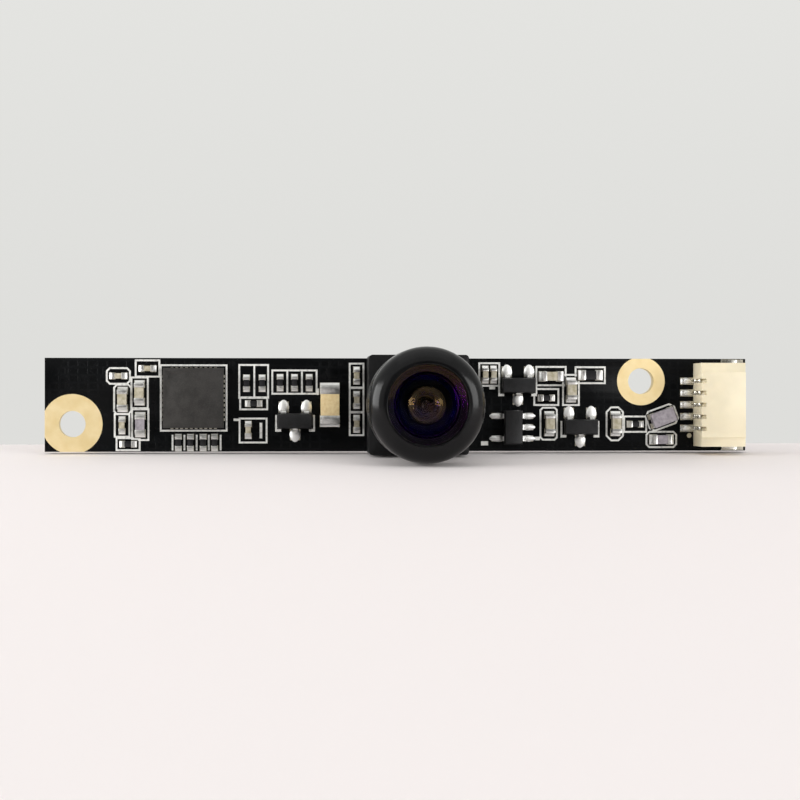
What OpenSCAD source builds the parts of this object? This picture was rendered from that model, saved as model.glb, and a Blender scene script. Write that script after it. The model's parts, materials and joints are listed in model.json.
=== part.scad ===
// Narrow board camera module: a strip circuit board with a wide-angle lens in a moulded holder,
// its processor, regulators and chip parts, and a five-way side-entry cable connector.
//
// Everything is laid out as on a board drawing: x runs along the board, y across it, z out of its
// front face, and the optical axis is x = 0, y = 0. upright() then stands the board on its long
// edge, so that the lens looks along -Y of the finished part and +Z is up.

/* [Board] */
// Optical axis to the left end of the board
left_arm = 30.8; // [30.8:0.1:40]
// Optical axis to the right end of the board
right_arm = 28.2; // [28.2:0.1:36]
// Width of the board, which is its height when it stands
board_w = 7.8; // [7.8:0.1:10]
// Thickness of the laminate with its solder mask
board_t = 1; // [0.6:0.1:1.6]

/* [Mounting holes] */
// Finished diameter of both holes
hole_d = 2.2; // [1.6:0.1:2.4]
// Thickness of the plated copper ring on each face
plating_t = 0.05; // [0.03:0.01:0.1]
// Diameter of the left mounting pad
left_pad_d = 5; // [3.4:0.1:5.2]
// Left hole to the left end
left_hole_in = 2.25; // [1.8:0.05:2.4]
// Left hole to the lower edge
left_hole_up = 2.3; // [1.8:0.1:3]
// Diameter of the right mounting pad
right_pad_d = 4.1; // [3.2:0.1:4.4]
// Right hole to the right end
right_hole_in = 9; // [8.6:0.05:9.3]
// Right hole to the upper edge
right_hole_down = 1.9; // [1.7:0.1:2.4]

/* [Lens holder] */
// Side of the square base
holder_w = 8.2; // [8:0.1:8.6]
// Height of the square base
holder_h = 4; // [3.4:0.1:5]
// Corner radius of the base
holder_r = 0.3; // [0.1:0.1:0.8]
// Side of the sensor chamber
chamber_w = 6.8; // [6.2:0.1:7]
// Depth of the sensor chamber
chamber_h = 1.9; // [1.5:0.1:2.2]
// Outer diameter of the threaded tube
tube_d = 8; // [7.8:0.1:8.2]
// Height of the tube above the board
tube_h = 6.4; // [5.6:0.1:7.4]
// Thickness of the shelf between chamber and tube
shelf_t = 0.6; // [0.4:0.1:0.8]
// Light opening in the shelf
shelf_d = 4.8; // [4:0.1:5.2]
// Diameter of the two locating pegs
peg_d = 0.6; // [0.4:0.05:0.65]
// Peg offset from the middle, across the board
peg_y = 1.5; // [0:0.1:2.5]

/* [Sensor and filter] */
// Length of the sensor package
sensor_l = 5; // [4:0.1:5.6]
// Width of the sensor package
sensor_w = 4.2; // [3.4:0.1:5.2]
// Thickness of the silicon
die_t = 0.4; // [0.2:0.05:0.6]
// Thickness of the cover glass
cover_t = 0.4; // [0.2:0.05:0.5]
// Height of the solder balls
ball_h = 0.2; // [0.1:0.05:0.3]
// Side of the square infrared filter
filter_w = 5.8; // [5.4:0.1:6]
// Thickness of the infrared filter
filter_t = 0.3; // [0.2:0.05:0.5]

/* [Lens] */
// Lens thread diameter
thread_d = 7; // [6.6:0.1:7.2]
// Underside of the head above the board
head_base = 8.2; // [7.8:0.1:9]
// Length of the head up to the front of the bezel
head_h = 4.8; // [4.6:0.1:5.4]
// Radius of the rounded bezel
bezel_r = 1.5; // [1:0.1:1.5]
// Diameter of the front glass
front_lens_d = 7; // [6.6:0.1:7.2]
// Lip of the bezel over the edge of the front glass
glass_lip = 0.35; // [0.2:0.05:0.5]
// Wall of the barrel round the front glass
spigot_wall = 0.4; // [0.3:0.05:0.6]
// Wall of the bezel round the barrel
bezel_wall = 0.65; // [0.5:0.05:0.9]
// Radius of the front glass's outer surface
front_lens_r = 8; // [7:0.1:12]
// Diameter of the second glass
second_lens_d = 4.8; // [4.4:0.1:5]
// Diameter of the rear glasses
rear_lens_d = 4.36; // [4:0.02:4.6]
// Diameter of the aperture
aperture_d = 1; // [0.6:0.1:1.6]

/* [Connector] */
// Length of the housing, rear wall to mouth
housing_l = 3.75; // [3.4:0.05:4]
// Height of the housing
housing_h = 2.95; // [2.6:0.05:3.4]
// Housing beyond the outer contacts, each side
housing_side = 1.5; // [1.3:0.05:1.5]
// Thickness of the housing's outer walls
housing_wall = 0.5; // [0.4:0.05:0.6]
// Thickness of the housing's rear wall
rear_wall = 1; // [0.8:0.05:1.3]
// Mouth to the right end of the board
mouth_in = 0.75; // [0.3:0.05:0.85]
// Contact strip thickness
contact_t = 0.2; // [0.15:0.01:0.25]
// Contact strip width
contact_w = 0.3; // [0.25:0.01:0.4]
// Height of the contact blades above the board
blade_up = 1.35; // [1.2:0.05:1.5]

/* [Processor] */
// Side of the square package
chip_w = 5; // [4.5:0.1:5.2]
// Height of the package
chip_h = 0.85; // [0.75:0.05:1]
// Leads on each side
chip_leads = 10; // [8:1:10]
// Distance between leads
chip_pitch = 0.4; // [0.36:0.01:0.42]

/* [Chip parts] */
// Plating that wraps the ends of a chip part
terminal_t = 0.03; // [0.02:0.01:0.05]
// Thickness of the soldered copper lands
land_t = 0.04; // [0.03:0.01:0.06]
// Land showing past the end of a chip part
land_out = 0.24; // [0.18:0.01:0.26]

/* [Legend] */
// Width of a printed line
print_w = 0.15; // [0.1:0.01:0.18]
// Thickness of the print
print_t = 0.03; // [0.02:0.01:0.05]

/* [Hidden] */
$fn = 96;

// Clearance between pieces that are pushed or screwed into each other, on the radius
fit = 0.02;
// How far a cutting shape runs past what it cuts
over = 0.5;
half_w = board_w / 2;
left_hole = [left_hole_in - left_arm, left_hole_up - half_w];
right_hole = [right_arm - right_hole_in, half_w - right_hole_down];

// Test pad under the solder mask, above the bulk capacitor
test_pad = [-7.05, 2.75, board_t];
test_pad_d = 0.95;

// Standard package sizes: length, width and height
small_resistor = [1, 0.5, 0.35];
small_capacitor = [1, 0.5, 0.5];
large_resistor = [1.6, 0.8, 0.45];
large_capacitor = [1.6, 0.8, 0.8];
ferrite_bead = [1.6, 0.8, 0.6];
bulk_capacitor = [3.2, 1.6, 1.3];
choke = [2, 1.2, 0.9];
choke_end = [0.45, 0.42];
sot_body = [2.9, 1.3, 1];
sot5_body = [2.9, 1.6, 1.05];
sot_pitch = 0.95;
sot_lead_w = 0.4;
sot_lead_t = 0.13;
sot_reach = 0.55;

// Where each part sits: [x, y, turn] from the optical axis. Those that belong to the cable
// connector keep their distance from the right end instead.
function from_right(x) = right_arm - x;
small_resistors = [
    [-23.95, -3.27, 0], [-19.8, -3.15, 90], [-18.8, -3.15, 90], [-17.75, -3.15, 90],
    [-16.8, -3.15, 90], [-14.15, 1.8, 90], [-12.85, 1.8, 90], [-13.55, 0.1, 0],
    [-11.35, 1.85, 90], [-10.15, 1.85, 90], [-8.92, 1.85, 90], [11.1, 0.57, 0],
    [from_right(9.5), -1.65, 0]
];
small_capacitors = [
    [-24.75, 2.4, 0], [-22.35, 3.02, 0], [-24.45, -1.7, 90], [-14, -2.1, 90],
    [-4.95, 2.45, 90], [-4.95, 0.4, 90], [-4.95, -1.6, 90], [5.9, 2.55, 90], [6.6, 2.55, 90]
];
large_resistors = [[14.85, 2.5, 0]];
large_capacitors = [
    [-23, 1, 90], [-24.4, 0.45, 90], [11.5, 2.4, 0], [13.2, 1.25, 90], [11.35, -1.6, 90],
    [from_right(11.2), -1.6, 90]
];
ferrite_beads = [[-22.95, -1.65, 90], [from_right(7.25), -2.95, 0]];
bulk_place = [-7.2, 0, 90];
choke_place = [from_right(7.2), -1.08, 20];
processor_place = [-18.53, 0.57, 0];
left_regulator = [-10.1, -1.35, 0];
middle_regulator = [8.67, 1.62, 0];
right_regulator = [13.97, -1.87, 0];
load_switch = [8.2, -1.9, -90];

// Printed frames: [x, y, length, width, cut corner]
frames = [
    [-24.75, 2.4, 1.75, 1.15, 0.2], [-22.35, 3.02, 1.8, 1.2, 0], [-23, 1, 1.2, 2.4, 0],
    [-24.4, 0.45, 1.25, 2.3, 0.2], [-24.45, -1.7, 1.05, 1.75, 0], [-22.95, -1.65, 1.2, 2.4, 0],
    [-23.95, -3.27, 1.75, 0.85, 0], [-18.53, 0.57, 5.3, 5.3, 0], [-13.55, 1.95, 2.25, 2.6, 0],
    [-13.55, 0.12, 2.1, 0.85, 0], [-13.6, -2.15, 2.1, 1.85, 0], [-10.15, 1.9, 3.55, 1.8, 0],
    [-4.95, 2.45, 1, 1.85, 0], [-4.95, 0.4, 1, 1.85, 0], [-4.95, -1.6, 1, 1.75, 0],
    [6.25, 2.55, 1.55, 1.75, 0], [11.3, -1.6, 1.25, 2.55, 0.15], [11.5, 2.42, 2.35, 1.4, 0],
    [11.1, 0.65, 1.9, 1.2, 0], [13.2, 1.25, 1.2, 2.4, 0], [14.85, 2.5, 2.35, 1.2, 0],
    [from_right(11.25), -1.62, 1.25, 2.65, 0.35], [from_right(9.5), -1.65, 1.75, 1.15, 0],
    [from_right(7.25), -2.95, 2.4, 1.15, 0.2]
];

// Printed bars between neighbours, at a package's side and beside a frame: [x, y, length, width]
bars = [
    [-20.28, -3.15, print_w, 1.3], [-19.3, -3.15, print_w, 1.3], [-18.28, -3.15, print_w, 1.3],
    [-17.28, -3.15, print_w, 1.3], [-16.3, -3.15, print_w, 1.3], [-13.5, 1.95, print_w, 2.6],
    [-10.75, 1.9, print_w, 1.8], [-9.53, 1.9, print_w, 1.8], [6.5, 1.45, 0.5, 0.3],
    [-14.95, -1.25, 0.55, 0.2], [-12.95, -2.15, 0.22, 1.3], [10.35, -2.85, 0.4, 0.3],
    [5.85, -3.25, 0.6, 0.35], [-8.19, 1.1, 0.15, 0.55]
];

// Three-lead packages with a printed angle at each end of their lower side
angled = [left_regulator, middle_regulator, right_regulator];

// Diameters of the lens head, from its glass outwards
window_d = front_lens_d - 2 * glass_lip;
spigot_r = front_lens_d / 2 + spigot_wall;
head_d = 2 * (spigot_r + bezel_wall);

// Lens stack, in heights above the board's front face, from the front glass to the rear
head_top = head_base + head_h;
bezel_skirt = 1.1;
bezel_base = head_top - bezel_r - bezel_skirt;
lip_t = 0.13;
bezel_step = head_top - lip_t;
front_edge = 1.57;
front_seat = bezel_step - front_edge;
spigot_up = 1;
spigot_top = front_seat + spigot_up;
front_apex = bezel_step + cap_depth(front_lens_r, window_d / 2) - fit;
front_hollow_r = 2.7;
front_hollow_d = 4.8;
second_drop = 2.4;
second_seat = front_seat - second_drop;
second_edge = 1.12;
second_front_r = 9;
second_apex = second_seat + second_edge + cap_depth(second_front_r, second_lens_d / 2);
second_hollow_r = 1.9;
second_hollow_d = 3.4;
cone_up = 1.5;
cone_base = second_seat + cone_up;
glass_ledge = 0.6;
cone_top_r = front_lens_d / 2 - glass_ledge;
stop_drop = 0.9;
stop_seat = second_seat - stop_drop;
stop_t = 0.1;
rear_r = rear_lens_d / 2;
ring_w = 0.28;
ring_r = rear_r - ring_w;
stop_gap = 0.05;
third_apex = stop_seat - stop_t - stop_gap;
third_front_r = 4;
third_edge = 0.3;
third_rear_r = 3;
third_vertex = third_apex - cap_depth(third_front_r, rear_r) - third_edge
    - cap_depth(third_rear_r, rear_r);
rear_gap = 0.12;
rear_apex = third_vertex - rear_gap;
rear_front_r = 5;
rear_edge = 0.4;
rear_rear_r = 8;
rear_vertex = rear_apex - cap_depth(rear_front_r, rear_r) - rear_edge
    - cap_depth(rear_rear_r, rear_r);
retainer_r = 1.6;
retainer_h = 0.8;
shelf_top = chamber_h + filter_t + shelf_t;
focus_gap = 0.6;
barrel_base = shelf_top + focus_gap;
thread_pitch = 0.35;
thread_depth = 0.16;

// Depth of a spherical cap of radius r over a circle of radius c
function cap_depth(r, c) = r - sqrt(r * r - c * c);

// Connector, measured from its mouth back into the housing
contact_count = 5;
contact_pitch = 1;
housing_w = (contact_count - 1) * contact_pitch + 2 * housing_side;
mouth_x = right_arm - mouth_in;
floor_t = 0.45;
slot_l = 0.4;
tail_l = 0.95;
blade_tip = 0.9;
shoulder = 0.75;
lug_at = 0.7;
lug_l = 1.3;
lug_land_l = 1.9;
lug_t = 0.15;
lug_h = 1.6;
lug_out = 0.3;

// ---------------------------------------------------------------- placing and plain shapes

module upright() {
    rotate([90, 0, 0]) children();
}

module on_board() {
    translate([0, 0, board_t]) children();
}

module place(spot) {
    translate([spot[0], spot[1], board_t]) rotate([0, 0, spot[2]]) children();
}

// The connector is drawn with +x running in from its mouth
module at_mouth() {
    translate([mouth_x, 0, board_t]) rotate([0, 0, 180]) children();
}

module block(size) {
    translate([-size[0] / 2, -size[1] / 2, 0]) cube(size);
}

module rounded(l, w, r) {
    square([l - 2 * r, w], center = true);
    square([l, w - 2 * r], center = true);
    for (sx = [-1, 1], sy = [-1, 1])
        translate([sx * (l / 2 - r), sy * (w / 2 - r)]) circle(r, $fn = 32);
}

module cut_corners(l, w, c) {
    polygon([
        [-l / 2 + c, -w / 2], [l / 2 - c, -w / 2], [l / 2, -w / 2 + c], [l / 2, w / 2 - c],
        [l / 2 - c, w / 2], [-l / 2 + c, w / 2], [-l / 2, w / 2 - c], [-l / 2, -w / 2 + c]
    ]);
}

// A flat shape drawn in x and z, given a width across y
module across(w) {
    translate([0, w / 2, 0]) rotate([90, 0, 0]) linear_extrude(w) children();
}

module quarter_bend(r, t) {
    intersection() {
        difference() {
            circle(r + t, $fn = 32);
            circle(r, $fn = 32);
        }
        square(r + t + over);
    }
}

// Side view of a formed strip: a run at the top, a leg down and a foot turned outwards
module formed_strip(start, leg, end, base, rise, t, bend, point) {
    run_end = leg - t - bend;
    polygon([
        [start, rise - t / 2 - t * (0.5 - point)], [start + 2 * t * point, rise - t],
        [run_end, rise - t], [run_end, rise], [start + 2 * t * point, rise],
        [start, rise - t / 2 + t * (0.5 - point)]
    ]);
    translate([run_end, rise - t - bend]) quarter_bend(bend, t);
    translate([leg - t, base + t + bend]) square([t, rise - base - 2 * (t + bend)]);
    translate([leg + bend, base + t + bend]) rotate(180) quarter_bend(bend, t);
    translate([leg + bend, base]) square([end - leg - bend, t]);
}

// Hollow-faced solder fillet, from a land up the end of a part
module fillet_profile(out, up) {
    tip = 0.02;
    chord = [out - tip, tip - up];
    span = norm(chord);
    middle = [(out + tip) / 2, (up + tip) / 2];
    centre = middle + 0.7 * [-chord[1], chord[0]];
    difference() {
        square([out, up]);
        translate(centre) circle(sqrt(span * span / 4 + 0.49 * span * span), $fn = 48);
    }
}

module solder(at, out, up, w) {
    translate([at, 0, land_t]) across(w) fillet_profile(out, up);
}

// ---------------------------------------------------------------- board and mounting pads

module board_outline() {
    translate([-left_arm, -half_w]) square([left_arm + right_arm, board_w]);
}

// A mounting pad is cut off where it would run past the board's edge
module pad_outline(hole, pad_d) {
    intersection() {
        translate(hole) circle(d = pad_d);
        board_outline();
    }
}

module pad_recess(hole, pad_d) {
    translate([hole[0], hole[1], -over]) cylinder(d = hole_d, h = board_t + 2 * over);
    for (z = [-over, board_t - plating_t])
        translate([hole[0], hole[1], z]) cylinder(d = pad_d, h = over + plating_t);
}

module peg_spots() {
    for (s = [-1, 1]) translate([s * (holder_w + chamber_w) / 4, s * peg_y, 0]) children();
}

module circuit_board() {
    color("#16171a") {
        difference() {
            linear_extrude(board_t) board_outline();
            pad_recess(left_hole, left_pad_d);
            pad_recess(right_hole, right_pad_d);
            peg_spots() translate([0, 0, -over])
                cylinder(d = peg_d + 2 * fit, h = board_t + 2 * over, $fn = 32);
        }
        translate(test_pad) cylinder(d = test_pad_d, h = 0.03, $fn = 48);
    }
}

// A copper ring round the hole on each face, flush with the solder mask
module mounting_pad(hole, pad_d) {
    color("#e0c884") for (z = [0, board_t - plating_t])
        translate([0, 0, z]) linear_extrude(plating_t) difference() {
            pad_outline(hole, pad_d);
            translate(hole) circle(d = hole_d);
        }
}

module left_mounting_pad() {
    mounting_pad(left_hole, left_pad_d);
}

module right_mounting_pad() {
    mounting_pad(right_hole, right_pad_d);
}

// ---------------------------------------------------------------- chip parts

function end_l(size) = size[0] * 0.22;
function toe(size) = min(land_out, size[2] * 0.6);

module chip_body(size) {
    translate([0, 0, land_t + terminal_t])
        block([size[0] - 2 * terminal_t, size[1] - 2 * terminal_t, size[2] - 2 * terminal_t]);
}

// Plated cups over both ends of the body
module chip_terminals(size) {
    difference() {
        for (s = [-1, 1])
            translate([s * (size[0] - end_l(size)) / 2, 0, land_t])
                block([end_l(size), size[1], size[2]]);
        chip_body(size);
    }
}

module chip_fillets(size) {
    for (turn = [0, 180]) rotate([0, 0, turn]) solder(size[0] / 2, toe(size), toe(size), size[1]);
}

// Plan of the two lands, grown all round by g
module chip_plan(size, g) {
    land_l = end_l(size) + toe(size) + 0.06;
    for (s = [-1, 1])
        translate([s * (size[0] / 2 + toe(size) + 0.02 - land_l / 2), 0])
            square([land_l + 2 * g, size[1] + 0.08 + 2 * g], center = true);
}

module small_resistor_spots() {
    for (s = small_resistors) place(s) children();
}

module small_capacitor_spots() {
    for (s = small_capacitors) place(s) children();
}

module large_resistor_spots() {
    for (s = large_resistors) place(s) children();
}

module large_capacitor_spots() {
    for (s = large_capacitors) place(s) children();
}

module ferrite_bead_spots() {
    for (s = ferrite_beads) place(s) children();
}

module small_resistor_bodies() {
    color("#26262a") small_resistor_spots() chip_body(small_resistor);
}

module small_resistor_terminals() {
    color("#c9c9c6") small_resistor_spots() chip_terminals(small_resistor);
}

module small_capacitor_bodies() {
    color("#b3a78c") small_capacitor_spots() chip_body(small_capacitor);
}

module small_capacitor_terminals() {
    color("#c9c9c6") small_capacitor_spots() chip_terminals(small_capacitor);
}

module large_resistor_body() {
    color("#26262a") large_resistor_spots() chip_body(large_resistor);
}

module large_resistor_terminals() {
    color("#c9c9c6") large_resistor_spots() chip_terminals(large_resistor);
}

module large_capacitor_bodies() {
    color("#b9a886") large_capacitor_spots() chip_body(large_capacitor);
}

module large_capacitor_terminals() {
    color("#c9c9c6") large_capacitor_spots() chip_terminals(large_capacitor);
}

module ferrite_bead_bodies() {
    color("#4a4648") ferrite_bead_spots() chip_body(ferrite_bead);
}

module ferrite_bead_terminals() {
    color("#c9c9c6") ferrite_bead_spots() chip_terminals(ferrite_bead);
}

module bulk_capacitor_body() {
    color("#cdb27a") place(bulk_place) chip_body(bulk_capacitor);
}

module bulk_capacitor_terminals() {
    color("#c9c9c6") place(bulk_place) chip_terminals(bulk_capacitor);
}

// Common mode choke: a wound core under a flat plate, with a terminal at each corner
module choke_corners(size) {
    for (sx = [-1, 1], sy = [-1, 1])
        translate([sx * (size[0] - choke_end[0]) / 2, sy * (size[1] - choke_end[1]) / 2, land_t])
            block([choke_end[0], choke_end[1], 0.3]);
}

module choke_terminals() {
    color("#c9c9c6") place(choke_place) choke_corners(choke);
}

module choke_body() {
    color("#5d5a5e") place(choke_place) difference() {
        union() {
            translate([0, 0, land_t]) block([choke[0], choke[1], 0.3]);
            translate([0, 0, land_t + 0.3]) block([choke[0] - 0.5, choke[1] - 0.25, 0.35]);
            translate([0, 0, land_t + 0.65]) block([choke[0], choke[1], choke[2] - 0.65]);
        }
        choke_corners(choke);
        translate([0, 0, land_t - over]) block([choke[0] - 2 * choke_end[0], choke[1] + over, over + 0.12]);
    }
}

// ---------------------------------------------------------------- processor

module processor_ring() {
    for (turn = [0:90:270], i = [0:chip_leads - 1])
        rotate(turn) translate([chip_w / 2, (i - (chip_leads - 1) / 2) * chip_pitch]) children();
}

module processor_contacts() {
    color("#c9c9c6") place(processor_place) translate([0, 0, land_t]) {
        linear_extrude(0.2) {
            processor_ring() translate([-0.35, -0.1]) square([0.35, 0.2]);
            square(chip_w - 1.7, center = true);
        }
    }
}

module processor_body() {
    color("#454543") difference() {
        place(processor_place) difference() {
            translate([0, 0, land_t]) block([chip_w, chip_w, chip_h]);
            translate([-chip_w / 2 + 0.65, chip_w / 2 - 0.65, land_t + chip_h - 0.04])
                cylinder(d = 0.5, h = over, $fn = 48);
        }
        processor_contacts();
    }
}

// ---------------------------------------------------------------- moulded packages with leads

sot_rise = 0.62;

// Body with a parting line and drafted sides
module moulded(size) {
    d = 0.1;
    z0 = land_t + 0.06;
    z1 = land_t + size[2];
    part = land_t + sot_rise - sot_lead_t / 2;
    intersection() {
        across(size[1]) polygon([
            [-size[0] / 2 + d, z0], [-size[0] / 2, part], [-size[0] / 2 + d, z1],
            [size[0] / 2 - d, z1], [size[0] / 2, part], [size[0] / 2 - d, z0]
        ]);
        rotate([0, 0, 90]) across(size[0]) polygon([
            [-size[1] / 2 + d, z0], [-size[1] / 2, part], [-size[1] / 2 + d, z1],
            [size[1] / 2 - d, z1], [size[1] / 2, part], [size[1] / 2 - d, z0]
        ]);
    }
}

// Leads on both long sides: up lists those on +y, down those on -y, in lead pitches
module lead_spots(up, down) {
    for (i = up) translate([i * sot_pitch, 0]) rotate(90) children();
    for (i = down) translate([i * sot_pitch, 0]) rotate(-90) children();
}

module gull_lead(w) {
    across(sot_lead_w)
        formed_strip(w / 2 - 0.25, w / 2 + 0.22, w / 2 + sot_reach, land_t, land_t + sot_rise,
            sot_lead_t, 0.08, 0);
}

module lead_solder(w) {
    solder(w / 2 + sot_reach, 0.2, 0.14, sot_lead_w + 0.1);
}

module lead_plan(w, land_w, g) {
    translate([w / 2 + 0.05 - g, -land_w / 2 - g]) square([sot_reach + 0.37 + 2 * g, land_w + 2 * g]);
}

three_up = [-1, 1];
three_down = [0];
five_up = [-1, 0, 1];
five_down = [-1, 1];

module three_lead_body(spot) {
    color("#3a3a3a") place(spot) difference() {
        moulded(sot_body);
        lead_spots(three_up, three_down) gull_lead(sot_body[1]);
    }
}

module three_leads(spot) {
    color("#c9c9c6") place(spot) lead_spots(three_up, three_down) gull_lead(sot_body[1]);
}

module left_regulator_body() {
    three_lead_body(left_regulator);
}

module left_regulator_leads() {
    three_leads(left_regulator);
}

module middle_regulator_body() {
    three_lead_body(middle_regulator);
}

module middle_regulator_leads() {
    three_leads(middle_regulator);
}

module right_regulator_body() {
    three_lead_body(right_regulator);
}

module right_regulator_leads() {
    three_leads(right_regulator);
}

module load_switch_leads() {
    color("#c9c9c6") place(load_switch) lead_spots(five_up, five_down) gull_lead(sot5_body[1]);
}

module load_switch_body() {
    color("#3a3a3a") place(load_switch) difference() {
        moulded(sot5_body);
        lead_spots(five_up, five_down) gull_lead(sot5_body[1]);
    }
}

// ---------------------------------------------------------------- lands, solder and print

module plan_spot(spot) {
    translate([spot[0], spot[1]]) rotate(spot[2]) children();
}

module ball_spots() {
    pitch = 0.7;
    nx = floor((sensor_l - 0.5) / pitch);
    ny = floor((sensor_w - 0.5) / pitch);
    for (i = [0:nx], j = [0:ny]) translate([(i - nx / 2) * pitch, (j - ny / 2) * pitch]) children();
}

module tail_spots() {
    translate([mouth_x - housing_l, 0])
        for (i = [0:contact_count - 1])
            translate([0, (i - (contact_count - 1) / 2) * contact_pitch]) children();
}

// Plan of every soldered land, grown all round by g
module lands_plan(g) {
    for (s = small_resistors) plan_spot(s) chip_plan(small_resistor, g);
    for (s = small_capacitors) plan_spot(s) chip_plan(small_capacitor, g);
    for (s = large_resistors) plan_spot(s) chip_plan(large_resistor, g);
    for (s = large_capacitors) plan_spot(s) chip_plan(large_capacitor, g);
    for (s = ferrite_beads) plan_spot(s) chip_plan(ferrite_bead, g);
    plan_spot(bulk_place) chip_plan(bulk_capacitor, g);
    plan_spot(choke_place) for (sx = [-1, 1], sy = [-1, 1])
        translate([sx * 0.87, sy * 0.4]) square([0.6 + 2 * g, 0.46 + 2 * g], center = true);
    for (s = [left_regulator, middle_regulator, right_regulator])
        plan_spot(s) lead_spots(three_up, three_down) lead_plan(sot_body[1], 0.85, g);
    plan_spot(load_switch) lead_spots(five_up, five_down) lead_plan(sot5_body[1], 0.5, g);
    plan_spot(processor_place) {
        processor_ring() translate([-0.35 - g, -0.11 - g]) square([0.43 + 2 * g, 0.22 + 2 * g]);
        square(chip_w - 1.7 + 2 * g, center = true);
    }
    ball_spots() circle(0.15 + g, $fn = 32);
    tail_spots() translate([-tail_l - 0.18 - g, -0.3 - g]) square([tail_l + 0.18 + 2 * g, 0.6 + 2 * g]);
    for (s = [-1, 1])
        translate([mouth_x - lug_at - lug_l / 2 + lug_land_l / 2, s * (housing_w / 2 + 0.175)])
            square([lug_land_l + 2 * g, 0.35 + 2 * g], center = true);
    translate([mouth_x - housing_l - 0.35, -2.62]) circle(0.2 + g, $fn = 32);
}

module component_lands() {
    color("#c8b98a") on_board() linear_extrude(land_t) lands_plan(0);
}

module solder_fillets() {
    color("#cfcfcd") {
        small_resistor_spots() chip_fillets(small_resistor);
        small_capacitor_spots() chip_fillets(small_capacitor);
        large_resistor_spots() chip_fillets(large_resistor);
        large_capacitor_spots() chip_fillets(large_capacitor);
        ferrite_bead_spots() chip_fillets(ferrite_bead);
        place(bulk_place) chip_fillets(bulk_capacitor);
        for (s = [left_regulator, middle_regulator, right_regulator])
            place(s) lead_spots(three_up, three_down) lead_solder(sot_body[1]);
        place(load_switch) lead_spots(five_up, five_down) lead_solder(sot5_body[1]);
        on_board() tail_spots() rotate([0, 0, 180]) solder(tail_l, 0.16, contact_t, contact_w + 0.1);
    }
}

// Angle printed round the end of a package: up its side and along under its foot
module end_mark(size) {
    foot = 0.5;
    side = 1.4;
    translate([size[0] / 2 + 0.06, -size[1] / 2 - 0.25]) {
        square([print_w, side]);
        translate([print_w - foot, 0]) square([foot, print_w * 1.4]);
    }
}

module printed_frame(l, w, c) {
    outer_c = c > 0 ? c + print_w * 0.6 : 0;
    difference() {
        cut_corners(l + 2 * print_w, w + 2 * print_w, outer_c);
        cut_corners(l, w, c);
    }
}

module printed_legend() {
    color("#e4e4e0") on_board() linear_extrude(print_t) difference() {
        intersection() {
            union() {
                for (f = frames) translate([f[0], f[1]]) printed_frame(f[2], f[3], f[4]);
                plan_spot(choke_place) printed_frame(choke[0] + 0.45, choke[1] + 0.35, 0.3);
                for (b = bars) translate([b[0], b[1]]) square([b[2], b[3]], center = true);
                for (spot = angled) plan_spot(spot) for (turn = [0, 1]) mirror([turn, 0]) end_mark(sot_body);
            }
            translate([-left_arm + 0.06, -half_w + 0.06])
                square([left_arm + right_arm - 0.12, board_w - 0.12]);
        }
        lands_plan(0.07);
        square(holder_w + 0.1, center = true);
    }
}

// ---------------------------------------------------------------- lens holder and sensor

module lens_holder() {
    color("#1c1c1e") on_board() {
        difference() {
            union() {
                linear_extrude(holder_h) rounded(holder_w, holder_w, holder_r);
                cylinder(d = tube_d, h = tube_h);
            }
            translate([0, 0, -over]) block([chamber_w, chamber_w, chamber_h + over]);
            translate([0, 0, -over]) block([filter_w + 0.1, filter_w + 0.1, chamber_h + filter_t + over]);
            cylinder(d = shelf_d, h = tube_h);
            translate([0, 0, shelf_top]) cylinder(d = thread_d + 2 * fit, h = tube_h);
        }
        peg_spots() translate([0, 0, 0.1 - board_t]) cylinder(d = peg_d, h = board_t - 0.1, $fn = 32);
    }
}

module infrared_filter() {
    color("#7d9aa8") on_board() translate([0, 0, chamber_h]) block([filter_w, filter_w, filter_t]);
}

// Solder balls, flattened where they meet the land and the die
module sensor_balls() {
    ball_r = ball_h * 0.8;
    color("#cfcfcd") on_board() translate([0, 0, land_t]) ball_spots() intersection() {
        translate([0, 0, ball_h / 2]) sphere(ball_r, $fn = 24);
        block([1, 1, ball_h]);
    }
}

module sensor_die() {
    color("#3b3f4a") on_board() translate([0, 0, land_t + ball_h])
        block([sensor_l, sensor_w, die_t]);
}

module sensor_cover_glass() {
    color("#a9bcc4") on_board() translate([0, 0, land_t + ball_h + die_t])
        block([sensor_l, sensor_w, cover_t]);
}

// ---------------------------------------------------------------- lens, drawn as half sections

// A half section, x from the optical axis and y above the board, turned about the axis
module turned() {
    on_board() rotate_extrude() children();
}

// Slab from z0 to z1 out to radius r
module slab(z0, z1, r) {
    translate([0, z0]) square([r, z1 - z0]);
}

// Everything below a convex face whose highest point is at apex
module under_dome(apex, r) {
    translate([0, apex - r]) circle(r);
}

// Everything above a convex face whose lowest point is at vertex
module over_bowl(vertex, r) {
    translate([0, vertex + r]) circle(r);
}

// The ball that leaves a hollow of diameter d in a face at height seat
module hollow(seat, r, d) {
    translate([0, seat - (r - cap_depth(r, d / 2))]) circle(r);
}

// Where the lowest or highest point of a ring of radius c meets a curved face
function dome_at(apex, r, c) = apex - cap_depth(r, c);
function bowl_at(vertex, r, c) = vertex + cap_depth(r, c);

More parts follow.
